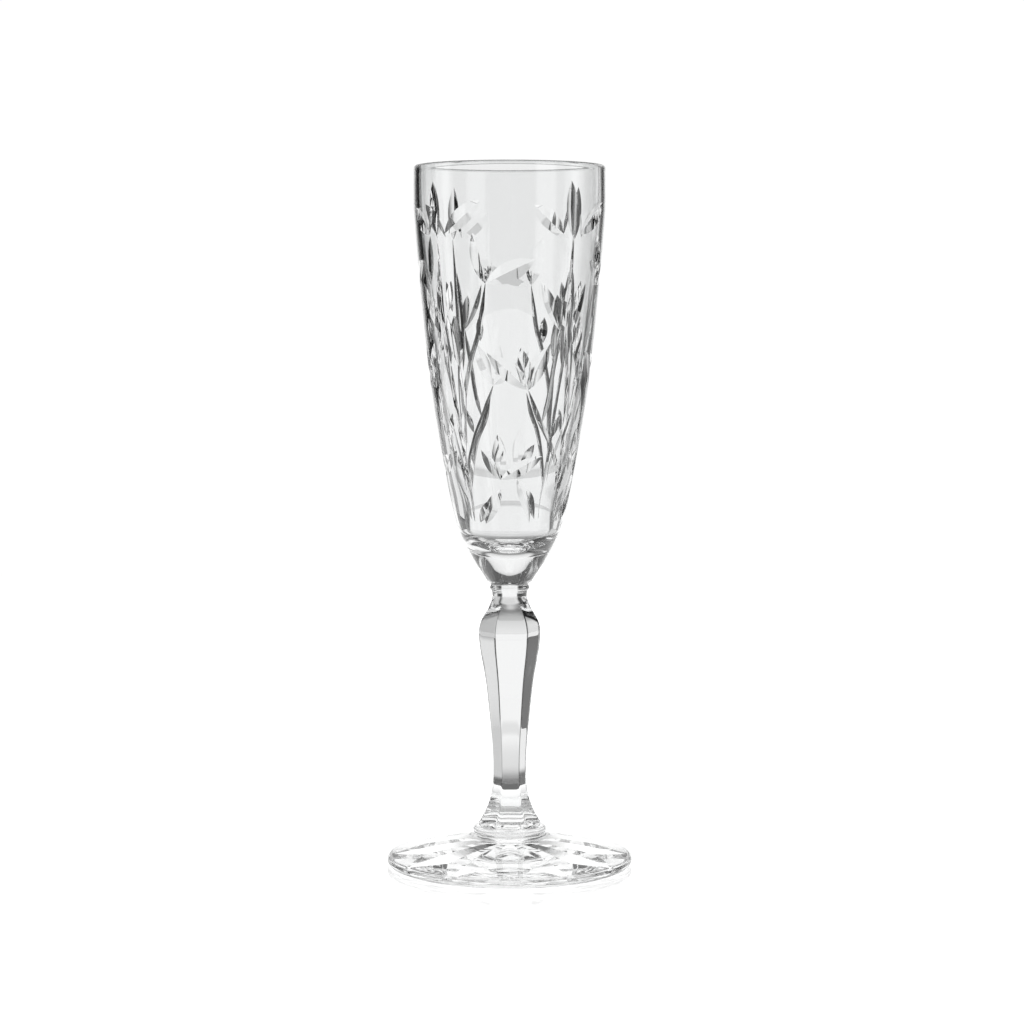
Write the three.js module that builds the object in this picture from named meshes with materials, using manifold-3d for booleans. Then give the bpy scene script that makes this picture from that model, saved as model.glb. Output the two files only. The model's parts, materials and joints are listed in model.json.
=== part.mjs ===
// Champagne flute in clear cut crystal: a tall tapering bowl, a hexagonal stem with a knop and a round foot.
// Millimetres, +Z up. The origin is the centre of the plane that the foot rests on.
// A turn is an angle around the axis in degrees: 0 faces the front (-Y) and +90 faces +X.
import * as THREE from 'three';
import { mergeVertices } from 'three/addons/utils/BufferGeometryUtils.js';
import Module from 'manifold-3d';

const wasm = await Module();
wasm.setup();

// Driving dimensions
const HEIGHT = 206.2;
const NECK_HEIGHT = 79.9;
const NECK_RADIUS = 5.1;
const SHOULDER_RADIUS = 6.5;
const SHOULDER_HEIGHT = 84.3;
const LIP_THICKNESS = 1.6;
const LIP_RADIUS = 28;
const WALL = 2.6;
const CAVITY_FLOOR = 93.5;
const CAVITY_KNEE = 102;
const FOOT_RADIUS = 36.4;
const FOOT_EDGE = 3;
const COLLAR_RADIUS = 10.9;
const COLLAR_ROUND = 1.3;
const STEM_FOOT_HEIGHT = 11.6;
const STEM_FOOT_RADIUS = 9.1;
const KNOP_HEIGHT = 69.7;
const STEM_SIDES = 6;
const STEM_TURN = 3.5;
const SECTORS = 4;
const PETALS = 12;
const PETAL_START = 3;
const PETAL_END = 34;

// Tessellation
const BOWL_SIDES = 40;
const BOWL_RINGS = 14;
const BOWL_SAMPLES = 240;
const FOOT_SIDES = 48;
const STEM_RINGS = 16;
const ROUND_STEPS = 4;
const FLOOR_STEPS = 5;
const WALL_RING_TOP = 198;
const WALL_RING_GAP = 16;
const LEAF_STEPS = 4;
const VINE_STEPS = 6;
const WELD_TOLERANCE = 1e-3;
const CUTTER_LIFT = 0.6;

// Wheel cuts: width across the surface and depth below it
const LEAF_DEPTH = 0.9;
const VINE_WIDTH = 1.5;
const VINE_DEPTH = 0.6;
const PETAL_WIDTH = 14;
const PETAL_DEPTH = 1.6;

const crystal = () => new THREE.MeshStandardMaterial({
  color: 0xeef1f2,
  roughness: 0.03,
  metalness: 0,
  transparent: true,
  opacity: 0.35,
});

// Outlines, as [radius, height] pairs
const points = (pairs) => pairs.map(([radius, height]) => new THREE.Vector2(radius, height));

// The bowl's neck carries a ring below a shoulder
const neckRings = points([
  [0, NECK_HEIGHT], [NECK_RADIUS, NECK_HEIGHT], [5.4, 81.8], [5.8, 82.1], [5.8, 82.7], [5.6, 83], [5.8, 84],
]);
const bowlSide = new THREE.SplineCurve(points([
  [SHOULDER_RADIUS, SHOULDER_HEIGHT], [8.9, 88], [11.8, 93], [14.8, 99.5], [17.4, 109],
  [19.9, 122.4], [22.4, 137.1], [24.3, 151.7], [26.1, 169.7], [27.4, 184.3], [28.1, 195.7],
  [LIP_RADIUS, HEIGHT - LIP_THICKNESS / 2],
]));
const bowlSamples = bowlSide.getPoints(BOWL_SAMPLES);

function bowlRadius(height) {
  const upper = bowlSamples.findIndex((sample) => sample.y >= height);
  const after = bowlSamples[Math.max(upper, 1)];
  const before = bowlSamples[Math.max(upper, 1) - 1];
  return THREE.MathUtils.mapLinear(height, before.y, after.y, before.x, after.x);
}

function bowlOutline() {
  const lip = [];
  const lipRound = LIP_THICKNESS / 2;
  for (let step = 1; step < ROUND_STEPS; step += 1) {
    const angle = (Math.PI * step) / ROUND_STEPS;
    const radius = LIP_RADIUS - lipRound + lipRound * Math.cos(angle);
    lip.push([radius, HEIGHT - lipRound + lipRound * Math.sin(angle)]);
  }
  const inside = [[LIP_RADIUS - LIP_THICKNESS, HEIGHT - lipRound]];
  for (let height = WALL_RING_TOP; height > CAVITY_KNEE; height -= WALL_RING_GAP) {
    const wall = THREE.MathUtils.mapLinear(height, CAVITY_KNEE, HEIGHT, WALL, LIP_THICKNESS);
    inside.push([bowlRadius(height) - wall, height]);
  }
  const kneeRadius = bowlRadius(CAVITY_KNEE) - WALL;
  const floor = [];
  for (let step = 0; step <= FLOOR_STEPS; step += 1) {
    const angle = (Math.PI / 2) * (step / FLOOR_STEPS);
    const drop = (CAVITY_KNEE - CAVITY_FLOOR) * Math.sin(angle);
    floor.push([kneeRadius * Math.cos(angle), CAVITY_KNEE - drop]);
  }
  floor[floor.length - 1][0] = 0;
  return [...neckRings, ...bowlSide.getPoints(BOWL_RINGS), ...points([...lip, ...inside, ...floor])];
}

const stemSide = new THREE.SplineCurve(points([
  [STEM_FOOT_RADIUS, 12.8], [7.95, 14.7], [7, 16.6], [5.75, 20.2], [5.05, 24.7], [4.95, 28], [5.15, 34.5],
  [5.75, 41.5], [6.5, 48.7], [7.4, 55.9], [8.5, 61.8], [9.2, 66.6], [9.35, KNOP_HEIGHT],
]));

function stemOutline() {
  const base = points([[0, STEM_FOOT_HEIGHT], [STEM_FOOT_RADIUS, STEM_FOOT_HEIGHT]]);
  const knop = points([[9, 71.4], [8, 73.8], [6.5, 76.1], [5.9, 77.3], [5.4, 78.5]]);
  const neck = points([[NECK_RADIUS, NECK_HEIGHT], [0, NECK_HEIGHT]]);
  return [...base, ...stemSide.getPoints(STEM_RINGS), ...knop, ...neck];
}

function footOutline() {
  const edge = FOOT_EDGE / 2;
  const rim = [];
  for (let step = 0; step <= ROUND_STEPS; step += 1) {
    const angle = -Math.PI / 2 + (Math.PI * step) / ROUND_STEPS;
    rim.push([FOOT_RADIUS - edge + edge * Math.cos(angle), edge + edge * Math.sin(angle)]);
  }
  const collar = [];
  for (let turn = -60; turn <= 90; turn += 30) {
    const angle = THREE.MathUtils.degToRad(turn);
    const radius = COLLAR_RADIUS - COLLAR_ROUND + COLLAR_ROUND * Math.cos(angle);
    const height = STEM_FOOT_HEIGHT - COLLAR_ROUND + COLLAR_ROUND * Math.sin(angle);
    collar.push([radius, height]);
  }
  const cone = [[24, 5.5], [12.6, 8.2]];
  const top = [[0, STEM_FOOT_HEIGHT]];
  return points([[0, 0], ...rim, ...cone, ...collar, ...top]);
}

// Solids
function turned(outline, sides, startTurn = 0) {
  const start = THREE.MathUtils.degToRad(startTurn);
  const geometry = new THREE.LatheGeometry(outline, sides, start, Math.PI * 2);
  return geometry.rotateX(Math.PI / 2);
}

function toSolid(geometry) {
  const bare = new THREE.BufferGeometry();
  bare.setAttribute('position', geometry.getAttribute('position'));
  bare.setIndex(geometry.getIndex());
  const merged = mergeVertices(bare, WELD_TOLERANCE);
  const corners = merged.getIndex().array;
  const triangles = [];
  for (let start = 0; start < corners.length; start += 3) {
    const [a, b, c] = corners.slice(start, start + 3);
    if (a !== b && b !== c && c !== a) triangles.push(a, b, c);
  }
  return new wasm.Manifold(new wasm.Mesh({
    numProp: 3,
    vertProperties: merged.getAttribute('position').array,
    triVerts: new Uint32Array(triangles),
  }));
}

function toGeometry(solid) {
  const mesh = solid.getMesh();
  const geometry = new THREE.BufferGeometry();
  geometry.setAttribute('position', new THREE.BufferAttribute(mesh.vertProperties, 3));
  geometry.setIndex(new THREE.BufferAttribute(mesh.triVerts, 1));
  geometry.computeVertexNormals();
  return geometry;
}

// A mitre wheel leaves a V groove. The cutter is a run of V sections, each standing on the surface at a
// station with its own depth; the slope of the V is the same all along, so a shallower cut is narrower.
function mitreCutter(stations, slope) {
  const positions = [];
  for (const { foot, normal, side, depth } of stations) {
    const reach = slope * (depth + CUTTER_LIFT);
    const top = foot.clone().addScaledVector(normal, CUTTER_LIFT);
    positions.push(...foot.clone().addScaledVector(normal, -depth));
    positions.push(...top.clone().addScaledVector(side, reach));
    positions.push(...top.clone().addScaledVector(side, -reach));
  }
  const last = positions.length / 3 - 3;
  const index = [0, 1, 2, last, last + 2, last + 1];
  for (let base = 0; base < last; base += 3) {
    for (let corner = 0; corner < 3; corner += 1) {
      const near = base + corner;
      const next = base + ((corner + 1) % 3);
      index.push(near, near + 3, next, next, near + 3, next + 3);
    }
  }
  const geometry = new THREE.BufferGeometry();
  geometry.setAttribute('position', new THREE.Float32BufferAttribute(positions, 3));
  geometry.setIndex(index);
  return toSolid(geometry);
}

function onBowl(turn, height) {
  const angle = THREE.MathUtils.degToRad(turn);
  const radius = bowlRadius(height);
  const flare = bowlRadius(height + 1) - bowlRadius(height - 1);
  const foot = new THREE.Vector3(radius * Math.sin(angle), -radius * Math.cos(angle), height);
  const normal = new THREE.Vector3(2 * Math.sin(angle), -2 * Math.cos(angle), -flare).normalize();
  return { foot, normal };
}

function bowlStations(spots, depthAt) {
  const stations = spots.map(([turn, height]) => onBowl(turn, height));
  stations.forEach((station, index) => {
    const before = stations[Math.max(index - 1, 0)].foot;
    const after = stations[Math.min(index + 1, stations.length - 1)].foot;
    const along = after.clone().sub(before).normalize();
    station.side = along.cross(station.normal).normalize();
    station.depth = depthAt(index / (stations.length - 1));
  });
  return stations;
}

// A leaf runs from its stalk to its tip and is deepest halfway
function leafCutter([baseTurn, baseHeight], [tipTurn, tipHeight], width) {
  const spots = [];
  for (let step = 0; step <= LEAF_STEPS; step += 1) {
    const part = step / LEAF_STEPS;
    const turn = THREE.MathUtils.lerp(baseTurn, tipTurn, part);
    spots.push([turn, THREE.MathUtils.lerp(baseHeight, tipHeight, part)]);
  }
  const stations = bowlStations(spots, (part) => 4 * LEAF_DEPTH * part * (1 - part));
  return mitreCutter(stations, width / 2 / LEAF_DEPTH);
}

// A vine keeps its depth and fades out at both ends
function vineCutter(route) {
  const curve = new THREE.SplineCurve(points(route));
  const spots = curve.getPoints(VINE_STEPS).map((spot) => [spot.x, spot.y]);
  const stations = bowlStations(spots, (part) => VINE_DEPTH * Math.min(1, 0.1 + 6 * part * (1 - part)));
  return mitreCutter(stations, VINE_WIDTH / 2 / VINE_DEPTH);
}

// One quarter of the cut pattern, as [turn, height] spots: sprigs of leaves with a width, and their vines
const sprigs = [
  { at: [34, 185.6], leaves: [[14.2, 193.6, 5.6]] },
  { at: [40.8, 185], leaves: [[39, 200.6, 4.8]] },
  { at: [47.5, 185.6], leaves: [[73, 195, 5.6]] },
  { at: [-15.2, 171.5], leaves: [[-22.4, 185.8, 5.8], [15.8, 178.2, 6]] },
  { at: [13.6, 141.3], leaves: [[-15.2, 151.8, 5.4], [28.2, 154.6, 4.6]] },
  { at: [-7.9, 115.4], leaves: [[28.2, 122.2, 4.2], [-9.3, 128.6, 4.6], [-23.8, 124, 3.4]] },
  { at: [-8, 112.8], leaves: [[-25.4, 102.4, 4.4]] },
  { at: [35.2, 158.2], leaves: [[20.2, 171.8, 4], [31.5, 168.4, 3.6]] },
  { at: [-36.6, 147.6], leaves: [[-37.4, 162.4, 4]] },
];
const vines = [
  [[41.4, 185], [41.2, 172], [41.4, 161], [43, 150], [45.6, 140], [48, 128], [50, 115], [51, 103]],
  [[-15.2, 171.4], [-17.8, 164], [-20.4, 158], [-30.4, 145.4], [-34.3, 139.7], [-36.4, 126]],
  [[13.6, 141.2], [19, 136], [25.6, 131], [33, 126.7], [40, 122.2], [45.2, 118], [46.4, 112]],
];

function bowlCutters() {
  const cutters = [];
  for (let sector = 0; sector < SECTORS; sector += 1) {
    const placed = ([turn, height]) => [turn + (360 / SECTORS) * sector, height];
    for (const { at, leaves } of sprigs) {
      for (const [turn, height, width] of leaves) {
        cutters.push(leafCutter(placed(at), placed([turn, height]), width));
      }
    }
    for (const route of vines) cutters.push(vineCutter(route.map(placed)));
  }
  return cutters;
}

// The underside of the foot carries a star of petals between its hub and its resting ring
function petalCutters() {
  const cutters = [];
  for (let petal = 0; petal < PETALS; petal += 1) {
    const angle = (Math.PI * 2 * petal) / PETALS;
    const outward = new THREE.Vector3(Math.sin(angle), -Math.cos(angle), 0);
    const normal = new THREE.Vector3(0, 0, -1);
    const side = outward.clone().cross(normal);
    const stations = [];
    for (let step = 0; step <= LEAF_STEPS; step += 1) {
      const part = step / LEAF_STEPS;
      const foot = outward.clone().multiplyScalar(THREE.MathUtils.lerp(PETAL_START, PETAL_END, part));
      stations.push({ foot, normal, side, depth: 4 * PETAL_DEPTH * part * (1 - part) });
    }
    cutters.push(mitreCutter(stations, PETAL_WIDTH / 2 / PETAL_DEPTH));
  }
  return cutters;
}

const cutAway = (blank, cutters) => cutters.reduce((body, cutter) => body.subtract(cutter), toSolid(blank));

function piece(name, solid) {
  const mesh = new THREE.Mesh(toGeometry(solid), crystal());
  mesh.name = name;
  return mesh;
}

const bowl = piece('bowl', cutAway(turned(bowlOutline(), BOWL_SIDES), bowlCutters()));
const stem = piece('stem', toSolid(turned(stemOutline(), STEM_SIDES, 180 / STEM_SIDES + STEM_TURN)));
const foot = piece('foot', cutAway(turned(footOutline(), FOOT_SIDES), petalCutters()));

const group = new THREE.Group();
group.add(bowl, stem, foot);

export default group;
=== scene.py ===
"""Champagne flute in clear cut crystal: bowl, hexagonal stem and foot, on a pale floor in soft studio light.

Shapes are in millimetres. The studio, and everything handed to Blender, is in metres. A turn is an angle
around the flute's axis in degrees: 0 faces the front (-Y) and +90 faces +X.
"""

from collections import namedtuple
import json
import math

import bpy
import numpy as np
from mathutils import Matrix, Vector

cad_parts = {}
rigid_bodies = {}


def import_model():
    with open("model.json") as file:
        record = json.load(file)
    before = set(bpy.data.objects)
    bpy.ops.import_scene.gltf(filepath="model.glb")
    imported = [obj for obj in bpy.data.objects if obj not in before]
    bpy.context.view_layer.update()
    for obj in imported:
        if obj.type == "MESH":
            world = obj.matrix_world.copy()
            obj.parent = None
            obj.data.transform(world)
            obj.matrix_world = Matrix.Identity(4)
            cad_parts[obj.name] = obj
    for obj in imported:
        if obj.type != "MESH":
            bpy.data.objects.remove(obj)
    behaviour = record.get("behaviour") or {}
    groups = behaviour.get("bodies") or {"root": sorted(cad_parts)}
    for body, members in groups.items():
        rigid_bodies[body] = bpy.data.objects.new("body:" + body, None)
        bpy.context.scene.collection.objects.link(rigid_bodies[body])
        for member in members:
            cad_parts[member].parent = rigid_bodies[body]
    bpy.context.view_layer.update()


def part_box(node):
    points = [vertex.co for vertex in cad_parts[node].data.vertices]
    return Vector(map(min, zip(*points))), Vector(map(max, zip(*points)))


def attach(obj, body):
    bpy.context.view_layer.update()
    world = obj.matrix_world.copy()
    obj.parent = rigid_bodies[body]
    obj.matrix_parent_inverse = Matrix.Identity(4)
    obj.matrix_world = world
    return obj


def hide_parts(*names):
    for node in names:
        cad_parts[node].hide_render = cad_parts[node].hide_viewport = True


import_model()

MM = 0.001
BOWL_LOW, BOWL_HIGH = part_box("bowl")
FOOT_LOW, FOOT_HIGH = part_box("foot")
RIM_Z = BOWL_HIGH[2] / MM
NECK_Z = BOWL_LOW[2] / MM
STEM_Z = FOOT_HIGH[2] / MM
FOOT_RADIUS = FOOT_HIGH[0] / MM

# Outlines, in millimetres, with the driving sizes of the CAD part. STEM_TURN is in degrees.
NECK_RADIUS = 5.1
SHOULDER = (6.5, 84.3)
LIP_RADIUS = 28.0
LIP_THICKNESS = 1.6
WALL = 2.6
WALL_TOP_Z = 198
CAVITY_FLOOR_Z = 93.5
CAVITY_KNEE_Z = 102.0
FOOT_EDGE = 3.0
COLLAR_RADIUS = 10.9
COLLAR_ROUND = 1.3
STEM_FOOT_RADIUS = 9.1
STEM_SIDES = 6
STEM_TURN = 3.5
KNOP = (9.35, 69.7)
SECTORS = 4
PETALS = 12

# Details that the CAD part doesn't have, in millimetres: the height of the lip band tinted dark as painted shade,
# how sharp the stem's edges are (a power, without a unit), and where its flats die out below the neck and
# above the collar
PAINTED_SHADE_BAND = 0.35
STEM_EDGE_POWER = 30
ROUND_NECK_Z, ROUND_NECK_SPAN = 74.5, 4
ROUND_FOOT_RISE, ROUND_FOOT_SPAN = 1.1, 0.4

# How finely the outlines are turned, and how many points are matched to an outline at once
BOWL_SIDES = 192
FOOT_SIDES = 144
MATCH_BLOCK = 4000

# Wheel cuts, in millimetres
LEAF_DEPTH = 0.9
VINE_WIDTH = 1.5
VINE_DEPTH = 0.6
PETAL_WIDTH = 14.0
PETAL_DEPTH = 1.6
PETAL_START = 3.0
PETAL_END = 34.0
CUTTER_LIFT = 0.6

# Material slots of every glass piece. The lip band's slot holds glass tinted dark as painted shade along the rim
POLISHED, CUT, WELD, SHADED_LIP = 0, 1, 2, 3


# ---------------------------------------------------------------- curves

def spline(knots, count):
    """A smooth curve through the knots: natural cubic splines over the chord length."""
    knots = np.array(knots, float)
    chord = np.r_[0, np.cumsum(np.hypot(*np.diff(knots, axis=0).T))]
    gap = np.diff(chord)
    size = len(knots)
    matrix = np.eye(size)
    right = np.zeros(knots.shape)
    for i in range(1, size - 1):
        matrix[i, i - 1:i + 2] = gap[i - 1], 2 * (gap[i - 1] + gap[i]), gap[i]
        slopes = (knots[i + 1] - knots[i]) / gap[i] - (knots[i] - knots[i - 1]) / gap[i - 1]
        right[i] = 6 * slopes
    bend = np.linalg.solve(matrix, right)
    where = np.linspace(0, chord[-1], count)
    i = np.clip(np.searchsorted(chord, where, side="right") - 1, 0, size - 2)
    near = ((where - chord[i]) / gap[i])[:, None]
    far = 1 - near
    square = (gap[i] ** 2 / 6)[:, None]
    curve = far * knots[i] + near * knots[i + 1]
    return curve + square * ((far ** 3 - far) * bend[i] + (near ** 3 - near) * bend[i + 1])


def arc(centre, radius, start, end, count):
    angles = np.radians(np.linspace(start, end, count))
    return np.c_[centre[0] + radius * np.cos(angles), centre[1] + radius * np.sin(angles)]


def joined(*runs):
    """One outline from several runs, without the points that repeat where they meet."""
    outline = np.vstack(runs)
    keep = np.r_[True, np.hypot(*np.diff(outline, axis=0).T) > 1e-6]
    return outline[keep]


def outline_normals(outline):
    """The outward normals of an outline that runs outside upwards and inside downwards."""
    step = np.diff(outline, axis=0)
    step /= np.hypot(*step.T)[:, None]
    along = np.vstack([step[:1], step[:-1] + step[1:], step[-1:]])
    normals = np.c_[along[:, 1], -along[:, 0]]
    return normals / np.hypot(*normals.T)[:, None]


# ---------------------------------------------------------------- the bowl's outline

NECK_RINGS = [
    (NECK_RADIUS, NECK_Z), (5.2, 81), (5.4, 81.8), (5.8, 82.1), (5.8, 82.7), (5.6, 83), (5.8, 84), SHOULDER,
]
BOWL_SIDE = joined(NECK_RINGS, spline([
    SHOULDER, (8.9, 88), (10.4, 90.4), (11.8, 93), (13.2, 95.7), (14.8, 99.5),
    (17.4, 109), (19.9, 122.4), (22.4, 137.1), (24.3, 151.7), (26.1, 169.7), (27.4, 184.3), (28.1, 195.7),
    (LIP_RADIUS, RIM_Z - LIP_THICKNESS / 2),
], 150))


def bowl_radius(z):
    return np.interp(z, BOWL_SIDE[:, 1], BOWL_SIDE[:, 0])


def bowl_outline():
    lip_round = LIP_THICKNESS / 2
    lip = arc((LIP_RADIUS - lip_round, RIM_Z - lip_round), lip_round, 0, 180, 13)
    heights = np.linspace(WALL_TOP_Z, CAVITY_KNEE_Z, 9)
    walls = np.interp(heights, (CAVITY_KNEE_Z, RIM_Z), (WALL, LIP_THICKNESS))
    knee = bowl_radius(CAVITY_KNEE_Z) - WALL
    depth = CAVITY_KNEE_Z - CAVITY_FLOOR_Z
    turn = np.radians(np.linspace(15, 90, 7))
    floor = np.c_[knee * np.cos(turn), CAVITY_KNEE_Z - depth * np.sin(turn)]
    inside = spline([lip[-1], *zip(bowl_radius(heights) - walls, heights), *floor], 130)
    inside[-1, 0] = 0
    return joined(BOWL_SIDE, lip, inside)


def foot_outline():
    edge = FOOT_EDGE / 2
    rim = arc((FOOT_RADIUS - edge, edge), edge, -90, 80, 12)
    collar = arc((COLLAR_RADIUS - COLLAR_ROUND, STEM_Z - COLLAR_ROUND), COLLAR_ROUND, -55, 80, 14)
    underside = np.c_[np.linspace(0, rim[0, 0], 40), np.zeros(40)]
    cone = spline([rim[-1], (24, 5.5), (14, 7.9), (11.6, 8.6), collar[0]], 60)
    return joined(underside, rim, cone, collar, [(STEM_FOOT_RADIUS, STEM_Z)])


# ---------------------------------------------------------------- meshes

def new_object(name, vertices, faces, slots=None):
    mesh = bpy.data.meshes.new(name)
    mesh.from_pydata((np.asarray(vertices) * MM).tolist(), [], faces)
    if slots is not None:
        mesh.polygons.foreach_set("material_index", slots)
    mesh.update()
    thing = bpy.data.objects.new(name, mesh)
    bpy.context.scene.collection.objects.link(thing)
    return thing


def add_slots(piece, slots):
    for slot in slots:
        piece.data.materials.append(slot)


def even_angles(sides):
    return np.arange(sides) * 2 * math.pi / sides


def rings_to_faces(rows, sides):
    """Quads between rings of vertices that follow one another, as lists of vertex numbers."""
    faces = []
    for row in range(rows - 1):
        for side in range(sides):
            after = (side + 1) % sides
            low, high = row * sides, (row + 1) * sides
            faces.append((low + side, low + after, high + after, high + side))
    return faces


def revolve(name, outline, sides, weld_low=False, weld_high=False):
    """Turns an outline about the axis and closes its ends: on the axis by a fan, else by a weld face."""
    on_axis_low = outline[0, 0] == 0
    on_axis_high = outline[-1, 0] == 0
    body = outline[int(on_axis_low):len(outline) - int(on_axis_high)]
    angles = even_angles(sides)
    radius, height = body[:, :1], body[:, 1:]
    vertices = np.dstack([radius * np.sin(angles), -radius * np.cos(angles), height + 0 * angles])
    vertices = vertices.reshape(-1, 3)
    faces = rings_to_faces(len(body), sides)
    slots = [POLISHED] * len(faces)
    low, high = len(vertices), len(vertices) + 1
    vertices = np.vstack([vertices, (0, 0, outline[0, 1]), (0, 0, outline[-1, 1])])
    top = (len(body) - 1) * sides
    for side in range(sides):
        after = (side + 1) % sides
        faces.append((after, side, low))
        slots.append(WELD if weld_low else POLISHED)
        faces.append((top + side, top + after, high))
        slots.append(WELD if weld_high else POLISHED)
    return new_object(name, vertices, faces, slots)


# ---------------------------------------------------------------- wheel cuts

def mitre_cutter(feet, normals, sides, depths, slope):
    """The V sections of one mitre cut, joined into a closed cutter: its vertices and faces."""
    reach = (slope * (depths + CUTTER_LIFT))[:, None]
    top = feet + normals * CUTTER_LIFT
    bottom = feet - normals * depths[:, None]
    vertices = np.stack([bottom, top + sides * reach, top - sides * reach], axis=1).reshape(-1, 3)
    last = len(vertices) - 3
    faces = [(0, 1, 2), (last, last + 2, last + 1)]
    for base in range(0, last, 3):
        for corner in range(3):
            near, after = base + corner, base + (corner + 1) % 3
            faces.append((near, near + 3, after + 3, after))
    return vertices, faces


def on_bowl(turns, heights):
    angles = np.radians(turns)
    radius = bowl_radius(heights)
    flare = bowl_radius(heights + 0.5) - bowl_radius(heights - 0.5)
    feet = np.c_[radius * np.sin(angles), -radius * np.cos(angles), heights]
    normals = np.c_[np.sin(angles), -np.cos(angles), -flare]
    return feet, normals / np.linalg.norm(normals, axis=1)[:, None]


def bowl_cutter(turns, heights, depths, slope):
    feet, normals = on_bowl(turns, heights)
    sides = np.cross(np.gradient(feet, axis=0), normals)
    sides /= np.linalg.norm(sides, axis=1)[:, None]
    return mitre_cutter(feet, normals, sides, depths, slope)


def leaf_cutter(base, tip, width, steps=18):
    """A leaf runs from its stalk to its tip and is deepest halfway."""
    part = np.linspace(0, 1, steps + 1)
    turns = base[0] + (tip[0] - base[0]) * part
    heights = base[1] + (tip[1] - base[1]) * part
    return bowl_cutter(turns, heights, 4 * LEAF_DEPTH * part * (1 - part), width / 2 / LEAF_DEPTH)


def vine_cutter(route, steps=48):
    """A vine keeps its depth and fades out at both ends."""
    part = np.linspace(0, 1, steps + 1)
    turns, heights = spline(route, steps + 1).T
    depths = VINE_DEPTH * np.minimum(1, 0.1 + 6 * part * (1 - part))
    return bowl_cutter(turns, heights, depths, VINE_WIDTH / 2 / VINE_DEPTH)


# One quarter of the pattern. A sprig is the (turn, height) of its stalk and a (turn, height, width) for each
# leaf's tip. A vine is the (turn, height) spots that it passes through.
SPRIGS = [
    ((34, 185.6), [(14.2, 193.6, 5.6), (36.5, 193, 1.2)]),
    ((40.8, 185), [(39, 200.6, 4.8)]),
    ((47.5, 185.6), [(73, 195, 5.6)]),
    ((-15.2, 171.5), [(-22.4, 185.8, 5.8), (15.8, 178.2, 6), (-15, 176.4, 1.2), (-11, 177.6, 1.2)]),
    ((13.6, 141.3), [(-15.2, 151.8, 5.4), (28.2, 154.6, 4.6), (7.5, 153.4, 4.4)]),
    ((-7.9, 115.4), [(28.2, 122.2, 4.2), (-9.3, 128.6, 4.6), (-23.8, 124, 3.4)]),
    ((-8, 112.8), [(-25.4, 102.4, 4.4)]),
    ((-17.5, 109.6), [(-32.2, 102.8, 3)]),
    ((35.2, 158.2), [(20.2, 171.8, 4), (31.5, 168.4, 3.6)]),
    ((22.6, 154.6), [(22.8, 162, 2.6)]),
    ((46.3, 163.4), [(50.8, 172.4, 2.8)]),
    ((-36.6, 147.6), [(-37.4, 162.4, 4), (-45, 162.4, 3.2)]),
    ((34.6, 127.2), [(41.8, 134.4, 2.4)]),
]
VINES = [
    [(41.4, 185), (41.2, 172), (41.4, 161), (43, 150), (45.6, 140), (48, 128), (50, 115), (51, 103)],
    [
        (-15.2, 171.4), (-17.8, 164), (-20.4, 158), (-25.4, 152), (-30.4, 145.4), (-34.3, 139.7), (-36, 133),
        (-36.4, 126),
    ],
    [(13.6, 141.2), (19, 136), (25.6, 131), (33, 126.7), (40, 122.2), (45.2, 118), (46.4, 112)],
    [(35.2, 158), (33.7, 152.5), (31.6, 146.8), (30.2, 141.1), (28.5, 136.8), (25, 131.4)],
    [(-36.4, 147.4), (-36.8, 141), (-37.6, 134), (-39.4, 122)],
    [(-14, 139), (-19, 132.6), (-25, 128.2), (-31.5, 121.5), (-38.6, 111)],
    [(-50.4, 175), (-52.2, 166), (-52.6, 156), (-50.4, 146)],
]


def bowl_cutters():
    cutters = []
    for turn in range(0, 360, 360 // SECTORS):
        for (stalk_turn, stalk_height), leaves in SPRIGS:
            stalk = (stalk_turn + turn, stalk_height)
            for tip_turn, tip_height, width in leaves:
                cutters.append(leaf_cutter(stalk, (tip_turn + turn, tip_height), width))
        for route in VINES:
            cutters.append(vine_cutter([(spot + turn, height) for spot, height in route]))
    return cutters


def petal_cutters(steps=24):
    part = np.linspace(0, 1, steps + 1)
    depths = 4 * PETAL_DEPTH * part * (1 - part)
    normals = np.tile((0, 0, -1.0), (len(part), 1))
    cutters = []
    for petal in range(PETALS):
        angle = 2 * math.pi * petal / PETALS
        outward = np.array([math.sin(angle), -math.cos(angle), 0])
        feet = outward * (PETAL_START + (PETAL_END - PETAL_START) * part)[:, None]
        sides = np.cross(np.tile(outward, (len(part), 1)), normals)
        cutters.append(mitre_cutter(feet, normals, sides, depths, PETAL_WIDTH / 2 / PETAL_DEPTH))
    return cutters


def cut_away(piece, cutters):
    """Subtracts every cutter. The faces that a cutter leaves keep the slot of cut glass."""
    collection = bpy.data.collections.new(piece.name + "_cutters")
    for vertices, faces in cutters:
        cutter = new_object(piece.name + "_cutter", vertices, faces, [CUT] * len(faces))
        bpy.context.scene.collection.objects.unlink(cutter)
        collection.objects.link(cutter)
        add_slots(cutter, piece.data.materials)
    for cutter in collection.objects:
        modifier = piece.modifiers.new("cut", "BOOLEAN")
        modifier.operation = "DIFFERENCE"
        modifier.solver = "MANIFOLD"
        modifier.object = cutter
    evaluated = piece.evaluated_get(bpy.context.evaluated_depsgraph_get())
    blank = piece.data
    mesh = bpy.data.meshes.new_from_object(evaluated)
    piece.modifiers.clear()
    piece.data = mesh
    mesh.name = piece.name
    bpy.data.meshes.remove(blank)
    for cutter in list(collection.objects):
        bpy.data.meshes.remove(cutter.data)
    bpy.data.collections.remove(collection)


def read_all(items, name, width=1, kind=float):
    """One property of every item of a mesh, with a row for each item where the property is a vector."""
    values = np.empty(len(items) * width, kind)
    items.foreach_get(name, values)
    return values.reshape(-1, width) if width > 1 else values


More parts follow.
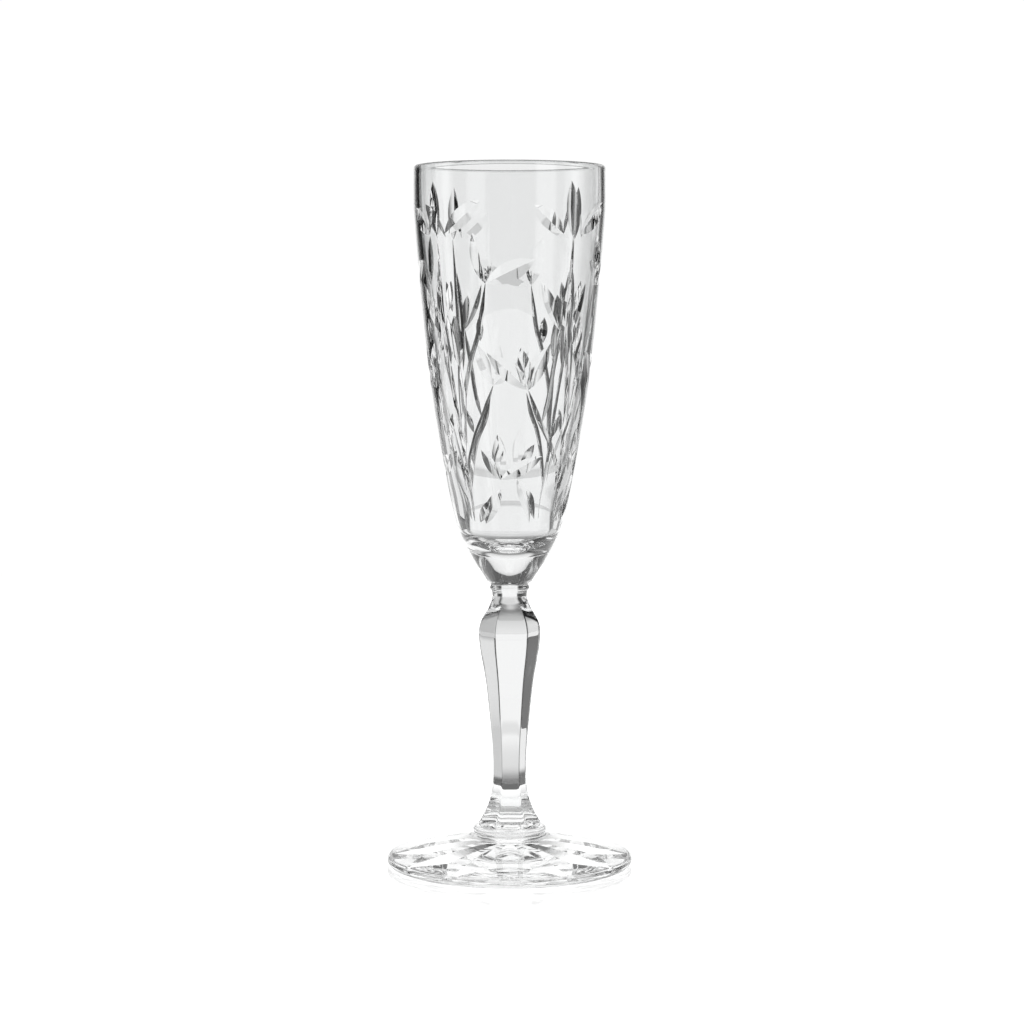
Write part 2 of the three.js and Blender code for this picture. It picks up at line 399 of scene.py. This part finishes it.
def smooth_normals(piece, outline=None, crease=12):
    """Cut facets stay crisp at their edges. Turned faces take the normals of their outline."""
    mesh = piece.data
    mesh.shade_smooth()
    mesh.set_sharp_from_angle(angle=math.radians(crease))
    if outline is None:
        return
    corners = read_all(mesh.corner_normals, "vector", 3)
    places = read_all(mesh.vertices, "co", 3) / MM
    owner = read_all(mesh.loops, "vertex_index", kind=int)
    slots = read_all(mesh.polygons, "material_index", kind=int)
    counts = read_all(mesh.polygons, "loop_total", kind=int)
    turned = np.repeat((slots == POLISHED) | (slots == SHADED_LIP), counts)
    normals = outline_normals(outline)
    radius = np.hypot(places[:, 0], places[:, 1])
    nearest = np.empty(len(places), int)
    for start in range(0, len(places), MATCH_BLOCK):
        block = slice(start, start + MATCH_BLOCK)
        gaps = np.hypot(radius[block, None] - outline[:, 0], places[block, 2:3] - outline[:, 1])
        nearest[block] = gaps.argmin(axis=1)
    across = np.zeros_like(places[:, :2])
    np.divide(places[:, :2], radius[:, None], where=radius[:, None] > 1e-6, out=across)
    exact = np.c_[across * normals[nearest, :1], normals[nearest, 1:]]
    corners[turned] = exact[owner[turned]]
    mesh.normals_split_custom_set(corners.tolist())


# ---------------------------------------------------------------- pieces

def build_bowl(slots):
    outline = bowl_outline()
    bowl = revolve("cut_bowl", outline, BOWL_SIDES, weld_low=True)
    add_slots(bowl, slots)
    cut_away(bowl, bowl_cutters())
    # The faces of the lip band take the dark glass: painted shade along the rim
    for face in bowl.data.polygons:
        if face.center.z > (RIM_Z - PAINTED_SHADE_BAND) * MM:
            face.material_index = SHADED_LIP
    smooth_normals(bowl, outline)
    return bowl


def build_foot(slots):
    outline = foot_outline()
    foot = revolve("star_foot", outline, FOOT_SIDES, weld_high=True)
    add_slots(foot, slots)
    cut_away(foot, petal_cutters())
    smooth_normals(foot, outline)
    return foot


def build_stem(slots):
    """A hexagon with slightly rounded edges, whose flats die out on the round collar and the round neck."""
    lower = spline([
        (STEM_FOOT_RADIUS, 12.8), (7.95, 14.7), (7, 16.6), (6.3, 18.4), (5.75, 20.2), (5.4, 22), (5.05, 24.7),
        (4.95, 28),
        (5.15, 34.5), (5.75, 41.5), (6.5, 48.7), (7.4, 55.9), (8.5, 61.8), (9.2, 66.6), KNOP,
    ], 200)
    upper = spline([
        KNOP, (9, 71.4), (8.6, 72.6), (8, 73.8), (7.35, 74.9), (6.5, 76.1), (5.9, 77.3), (5.4, 78.5),
        (NECK_RADIUS, NECK_Z),
    ], 60)
    base = [
        (STEM_FOOT_RADIUS, STEM_Z),
        (STEM_FOOT_RADIUS, STEM_Z + 0.5),
        (STEM_FOOT_RADIUS + 0.1, STEM_Z + 0.8),
    ]
    outline = joined(base, lower, upper)
    radius, heights = outline[:, :1], outline[:, 1:]
    flat = 360 / STEM_SIDES
    part = np.linspace(-1, 1, 25)[:-1]
    within = flat / 2 * np.sign(part) * (1 - (1 - np.abs(part)) ** 1.7)
    turns = (np.arange(STEM_SIDES)[:, None] * flat + within).ravel()
    angles = np.radians(turns + STEM_TURN)
    facing = [np.maximum(np.cos(np.radians(turns - flat * side)), 0) for side in range(STEM_SIDES)]
    hexagon = sum(share ** STEM_EDGE_POWER for share in facing) ** (-1 / STEM_EDGE_POWER)
    hexagon = hexagon * radius * math.cos(math.pi / STEM_SIDES)
    towards_neck = np.clip((heights - ROUND_NECK_Z) / ROUND_NECK_SPAN, 0, 1)
    towards_foot = np.clip((STEM_Z + ROUND_FOOT_RISE - heights) / ROUND_FOOT_SPAN, 0, 1)
    roundness = np.maximum(towards_neck, towards_foot)
    roundness = roundness ** 2 * (3 - 2 * roundness)
    shape = hexagon + (radius - hexagon) * roundness
    vertices = np.dstack([shape * np.sin(angles), -shape * np.cos(angles), heights + 0 * angles])
    rows, sides = shape.shape
    faces = rings_to_faces(rows, sides)
    slots_of_faces = [POLISHED] * len(faces)
    faces += [tuple(reversed(range(sides))), tuple(range((rows - 1) * sides, rows * sides))]
    slots_of_faces += [WELD, WELD]
    stem = new_object("hexagonal_stem", vertices.reshape(-1, 3), faces, slots_of_faces)
    add_slots(stem, slots)
    smooth_normals(stem, crease=25)
    return stem


# ---------------------------------------------------------------- materials

CRYSTAL_IOR = 1.53
CLEAR_TINT = (0.985, 0.99, 0.99)
# A dark grey tint for the lip band: painted shade along the rim, not a colour of the crystal
PAINTED_SHADE_TINT = (0.3, 0.31, 0.31)
GRAIN_SCALE = 160


def glass(name, tint, ripple, ripple_scale, grain):
    """Clear lead crystal. The surface has a faint waviness, and a breath of roughness that varies over it."""
    material = bpy.data.materials.new(name)
    material.use_nodes = True
    nodes, links = material.node_tree.nodes, material.node_tree.links
    shader = nodes["Principled BSDF"]
    shader.inputs["Base Color"].default_value = (*tint, 1)
    shader.inputs["Transmission Weight"].default_value = 1
    shader.inputs["IOR"].default_value = CRYSTAL_IOR
    place = nodes.new("ShaderNodeTexCoord")
    waves = nodes.new("ShaderNodeTexNoise")
    waves.inputs["Scale"].default_value = ripple_scale
    waves.inputs["Detail"].default_value = 2
    links.new(place.outputs["Object"], waves.inputs["Vector"])
    bump = nodes.new("ShaderNodeBump")
    bump.inputs["Strength"].default_value = 1
    bump.inputs["Distance"].default_value = ripple
    links.new(waves.outputs["Fac"], bump.inputs["Height"])
    links.new(bump.outputs["Normal"], shader.inputs["Normal"])
    polish = nodes.new("ShaderNodeTexNoise")
    polish.inputs["Scale"].default_value = GRAIN_SCALE
    links.new(place.outputs["Object"], polish.inputs["Vector"])
    spread = nodes.new("ShaderNodeMapRange")
    spread.inputs["To Min"].default_value = 0
    spread.inputs["To Max"].default_value = grain
    links.new(polish.outputs["Fac"], spread.inputs["Value"])
    links.new(spread.outputs["Result"], shader.inputs["Roughness"])
    return material


def weld_glass():
    """Where two pieces are melted together there is no surface, so light goes straight on."""
    material = bpy.data.materials.new("weld")
    material.use_nodes = True
    nodes, links = material.node_tree.nodes, material.node_tree.links
    nodes.remove(nodes["Principled BSDF"])
    clear = nodes.new("ShaderNodeBsdfTransparent")
    links.new(clear.outputs["BSDF"], nodes["Material Output"].inputs["Surface"])
    return material


# ---------------------------------------------------------------- studio

# The camera: its place in metres, how far it looks down, its field of view in degrees, and its sensor in mm
CAMERA_PLACE = (0.0007, -0.737, 0.1607)
CAMERA_DIP = 4.34
CAMERA_FIELD = 23.1
SENSOR_WIDTH = 36


def build_camera():
    camera = bpy.data.objects.new("camera", bpy.data.cameras.new("camera"))
    camera.data.sensor_width = SENSOR_WIDTH
    camera.data.lens = SENSOR_WIDTH / 2 / math.tan(math.radians(CAMERA_FIELD / 2))
    camera.location = CAMERA_PLACE
    camera.rotation_euler = (math.radians(90 - CAMERA_DIP), 0, 0)
    bpy.context.scene.collection.objects.link(camera)
    bpy.context.scene.camera = camera


Place = namedtuple("Place", "bearing elevation distance")


class Wiring:
    """Short names for the maths nodes of one material."""

    def __init__(self, material):
        self.nodes, self.links = material.node_tree.nodes, material.node_tree.links

    def wire(self, socket, value):
        if hasattr(value, "is_output"):
            self.links.new(value, socket)
        else:
            socket.default_value = value

    def math(self, operation, *values):
        node = self.nodes.new("ShaderNodeMath")
        node.operation = operation
        for socket, value in zip(node.inputs, values):
            self.wire(socket, value)
        return node.outputs[0]

    def times(self, first, *factors):
        for factor in factors:
            first = self.math("MULTIPLY", first, factor)
        return first

    def rise(self, value, start, end):
        """0 before start, 1 after end, and smooth between them. It falls where end is less than start."""
        node = self.nodes.new("ShaderNodeMapRange")
        node.interpolation_type = "SMOOTHSTEP"
        for name, number in (("Value", value), ("From Min", start), ("From Max", end)):
            self.wire(node.inputs[name], number)
        return node.outputs["Result"]

    def window(self, value, low, high, soft):
        """1 from low to high, and 0 further than soft outside them."""
        return self.times(self.rise(value, low - soft, low), self.rise(value, high + soft, high))

    def turns_from(self, bearing, centre):
        """How many degrees a bearing is from the centre bearing, from 0 to 180."""
        around = self.math("WRAP", self.math("SUBTRACT", bearing, centre), 180.0, -180.0)
        return self.math("ABSOLUTE", around)

    def polar_place(self):
        """The bearing and elevation of the place, in degrees, and its distance from the axis. The bearing is
        0 behind the flute (+Y) and +90 to the right (+X)."""
        split = self.nodes.new("ShaderNodeSeparateXYZ")
        self.links.new(self.nodes.new("ShaderNodeNewGeometry").outputs["Position"], split.inputs[0])
        x, y, z = split.outputs
        squares = self.math("ADD", self.math("MULTIPLY", x, x), self.math("MULTIPLY", y, y))
        distance = self.math("SQRT", squares)
        bearing = self.math("DEGREES", self.math("ARCTAN2", x, y))
        elevation = self.math("DEGREES", self.math("ARCTAN2", z, distance))
        return Place(bearing, elevation, distance)


# The floor, in metres: its radius and its gap below the foot, and the distances from the axis between which its
# mirror comes in, its mirror fades and the shade under the stem fades. FLOOR_GLOW is its own brightness.
FLOOR_RADIUS = 0.9
FLOOR_SIDES = 96
FLOOR_GAP = 0.0002
MIRROR_COMES_IN = (0.032, 0.036)
MIRROR_FADES = (0.09, 0.036)
SHADE_FADES = (0.018, 0.008)
FLOOR_GLOW = 1.06
MIRROR_DARKENS = 0.38
SHADE_DARKENS = 0.6


def build_floor():
    """A white floor that mirrors the flute close to it, less and less further out."""
    angles = even_angles(FLOOR_SIDES)
    height = np.full(FLOOR_SIDES, FOOT_LOW[2] - FLOOR_GAP)
    rim = np.c_[FLOOR_RADIUS * np.cos(angles), FLOOR_RADIUS * np.sin(angles), height] / MM
    floor = new_object("floor", rim, [tuple(range(FLOOR_SIDES))])
    material = bpy.data.materials.new("floor_white")
    material.use_nodes = True
    wiring = Wiring(material)
    distance = wiring.polar_place().distance
    mirror = wiring.times(wiring.rise(distance, *MIRROR_COMES_IN), wiring.rise(distance, *MIRROR_FADES))
    shade = wiring.times(wiring.rise(distance, *SHADE_FADES), SHADE_DARKENS)
    outside = wiring.math("SUBTRACT", FLOOR_GLOW, wiring.times(mirror, MIRROR_DARKENS))
    glow = wiring.math("SUBTRACT", outside, shade)
    shader = wiring.nodes["Principled BSDF"]
    shader.inputs["Base Color"].default_value = (0.3, 0.3, 0.3, 1)
    shader.inputs["Roughness"].default_value = 0.05
    shader.inputs["Specular IOR Level"].default_value = 0
    shader.inputs["Emission Color"].default_value = (1, 1, 1, 1)
    wiring.links.new(mirror, shader.inputs["Metallic"])
    wiring.links.new(glow, shader.inputs["Emission Strength"])
    floor.data.materials.append(material)


def surround_material(name, glow):
    """Light that depends on the place alone: glow(wiring, place) gives its strength."""
    material = bpy.data.materials.new(name)
    material.use_nodes = True
    wiring = Wiring(material)
    place = wiring.polar_place()
    shader = wiring.nodes["Principled BSDF"]
    shader.inputs["Base Color"].default_value = (0.01, 0.01, 0.01, 1)
    shader.inputs["Roughness"].default_value = 1
    shader.inputs["Specular IOR Level"].default_value = 0
    shader.inputs["Emission Color"].default_value = (1, 1, 1, 1)
    wiring.links.new(glow(wiring, place), shader.inputs["Emission Strength"])
    material.cycles.emission_sampling = "NONE"
    return material


# Soft boxes round the flute, in degrees: bearing, half width, side softness, lowest and highest elevation,
# end softness, and strength
SOFT_BOXES = [
    (0, 16, 4, -2.4, 60, 2.6, 0.93),
    (0, 42, 10, 20, 50, 9, 1.0),
    (0, 38, 8, 50, 90, 6, 1.0),
    (0, 16, 6, -60, -4, 3, 0.68),
    (44, 8, 3, 0, 20, 6, 0.72),
    (-90, 10, 6, -25, 40, 9, 1.0),
    (90, 8, 6, -10, 20, 9, 0.8),
    (135, 10, 6, -40, 30, 9, 1.0),
]
# Black flags between the boxes, in the same terms
FLAGS = [
    (25, 4, 2, -6, 8, 5, 0.95),
    (-43, 20, 3, -6, 10, 6, 0.95),
    (62, 14, 8, 12, 88, 6, 0.95),
    (-62, 14, 8, 12, 88, 6, 0.95),
]
FILL = 0.06
# Light from the floor round the flute: bearing, half width and side softness in degrees, inner radius in metres
# and strength
FLOOR_GLOWS = [
    (43, 14, 8, 0.12, 0.55),
    (-45, 7, 5, 0.17, 0.8),
    (-90, 12, 8, 0.25, 0.9),
    (135, 14, 8, 0.2, 0.9),
]
# The floor behind the flute, in metres: start, end and strength of its two rises, its base, its darker strip
# (from, to, softness, strength), the bearings where it ends and starts in degrees, and the weak light all round
NEAR_RISE = (0.08, 0.18, 0.58)
FAR_RISE = (0.15, 0.5, 0.2)
BEHIND_BASE = 0.14
DARK_STRIP = (0.54, 0.6, 0.1, 0.16)
BEHIND_SIDES = (24, 15)
ALL_ROUND_RISE = (0.09, 0.3, 0.15)

DOME_RADIUS = 4
APRON_INNER, APRON_OUTER, APRON_SIDES = 60, 1000, 96
WORLD_STRENGTH = 1.02


def beam(wiring, place, centre, half_width, side):
    """1 within half_width of the centre bearing, fading to 0 over the side softness."""
    return wiring.rise(wiring.turns_from(place.bearing, centre), half_width + side, half_width)


def panel(wiring, place, centre, half_width, side, low, high, end, strength):
    across = beam(wiring, place, centre, half_width, side)
    return wiring.times(across, wiring.window(place.elevation, low, high, end), strength)


def dome_glow(wiring, place):
    total = FILL
    for box in SOFT_BOXES:
        total = wiring.math("MAXIMUM", total, panel(wiring, place, *box))
    for flag in FLAGS:
        total = wiring.times(total, wiring.math("SUBTRACT", 1.0, panel(wiring, place, *flag)))
    return total


def distance_rise(wiring, place, start, end, strength):
    return wiring.times(wiring.rise(place.distance, start, end), strength)


def apron_glow(wiring, place):
    """The floor behind the flute brightens away from it, but for a slightly darker strip."""
    near = distance_rise(wiring, place, *NEAR_RISE)
    far = distance_rise(wiring, place, *FAR_RISE)
    *strip_window, strip_strength = DARK_STRIP
    strip = wiring.times(wiring.window(place.distance, *strip_window), strip_strength)
    bright = wiring.math("ADD", wiring.math("ADD", near, far), BEHIND_BASE)
    behind = wiring.math("SUBTRACT", bright, strip)
    total = wiring.times(behind, wiring.rise(wiring.turns_from(place.bearing, 0.0), *BEHIND_SIDES))
    for centre, half_width, side, inner, strength in FLOOR_GLOWS:
        across = beam(wiring, place, centre, half_width, side)
        along = wiring.rise(place.distance, inner * 0.7, inner)
        total = wiring.math("MAXIMUM", total, wiring.times(across, along, strength))
    return wiring.math("MAXIMUM", total, distance_rise(wiring, place, *ALL_ROUND_RISE))


def build_surround():
    """What the glass sees round it: a dark dome with soft boxes, and an apron on the floor. Both are out of
    the camera's sight, as flags and soft boxes stand out of the frame in bright-field glass photography."""
    bpy.ops.mesh.primitive_uv_sphere_add(segments=64, ring_count=32, radius=DOME_RADIUS)
    dome = bpy.context.object
    dome.name = "dome"
    dome.data.materials.append(surround_material("dome_light", dome_glow))
    angles = even_angles(APRON_SIDES)
    ring = np.c_[np.cos(angles), np.sin(angles), 0 * angles]
    lift = np.array([0, 0, 1.0])
    vertices = np.vstack([ring * APRON_INNER + lift, ring * APRON_OUTER + lift])
    apron = new_object("apron", vertices, rings_to_faces(2, APRON_SIDES))
    apron.data.materials.append(surround_material("apron_light", apron_glow))
    apron.visible_glossy = False
    for thing in (dome, apron):
        thing.visible_camera = False
        thing.visible_diffuse = False


def build_world():
    world = bpy.data.worlds.new("studio")
    world.use_nodes = True
    background = world.node_tree.nodes["Background"]
    background.inputs["Color"].default_value = (1, 1, 1, 1)
    background.inputs["Strength"].default_value = WORLD_STRENGTH
    bpy.context.scene.world = world


crystal_slots = [
    glass("crystal_polished", CLEAR_TINT, ripple=0.00004, ripple_scale=45, grain=0.01),
    glass("crystal_cut", CLEAR_TINT, ripple=0.00003, ripple_scale=160, grain=0.03),
    weld_glass(),
    # The lip glass is tinted dark as painted shade along the rim
    glass("crystal_lip_painted_shade", PAINTED_SHADE_TINT, ripple=0.00004, ripple_scale=45, grain=0.01),
]
pieces = {
    "bowl": (build_bowl(crystal_slots), "bowl_glass"),
    "stem": (build_stem(crystal_slots), "stem_glass"),
    "foot": (build_foot(crystal_slots), "foot_glass"),
}
for node, (piece, slot) in pieces.items():
    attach(piece, "root")
    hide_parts(node)

# Light runs through many reflections inside cut glass before it leaves it
light_paths = bpy.context.scene.cycles
light_paths.max_bounces = 32
light_paths.glossy_bounces = 24
light_paths.transmission_bounces = 32
bpy.context.scene.view_settings.view_transform = "Standard"
build_camera()
build_floor()
build_surround()
build_world()
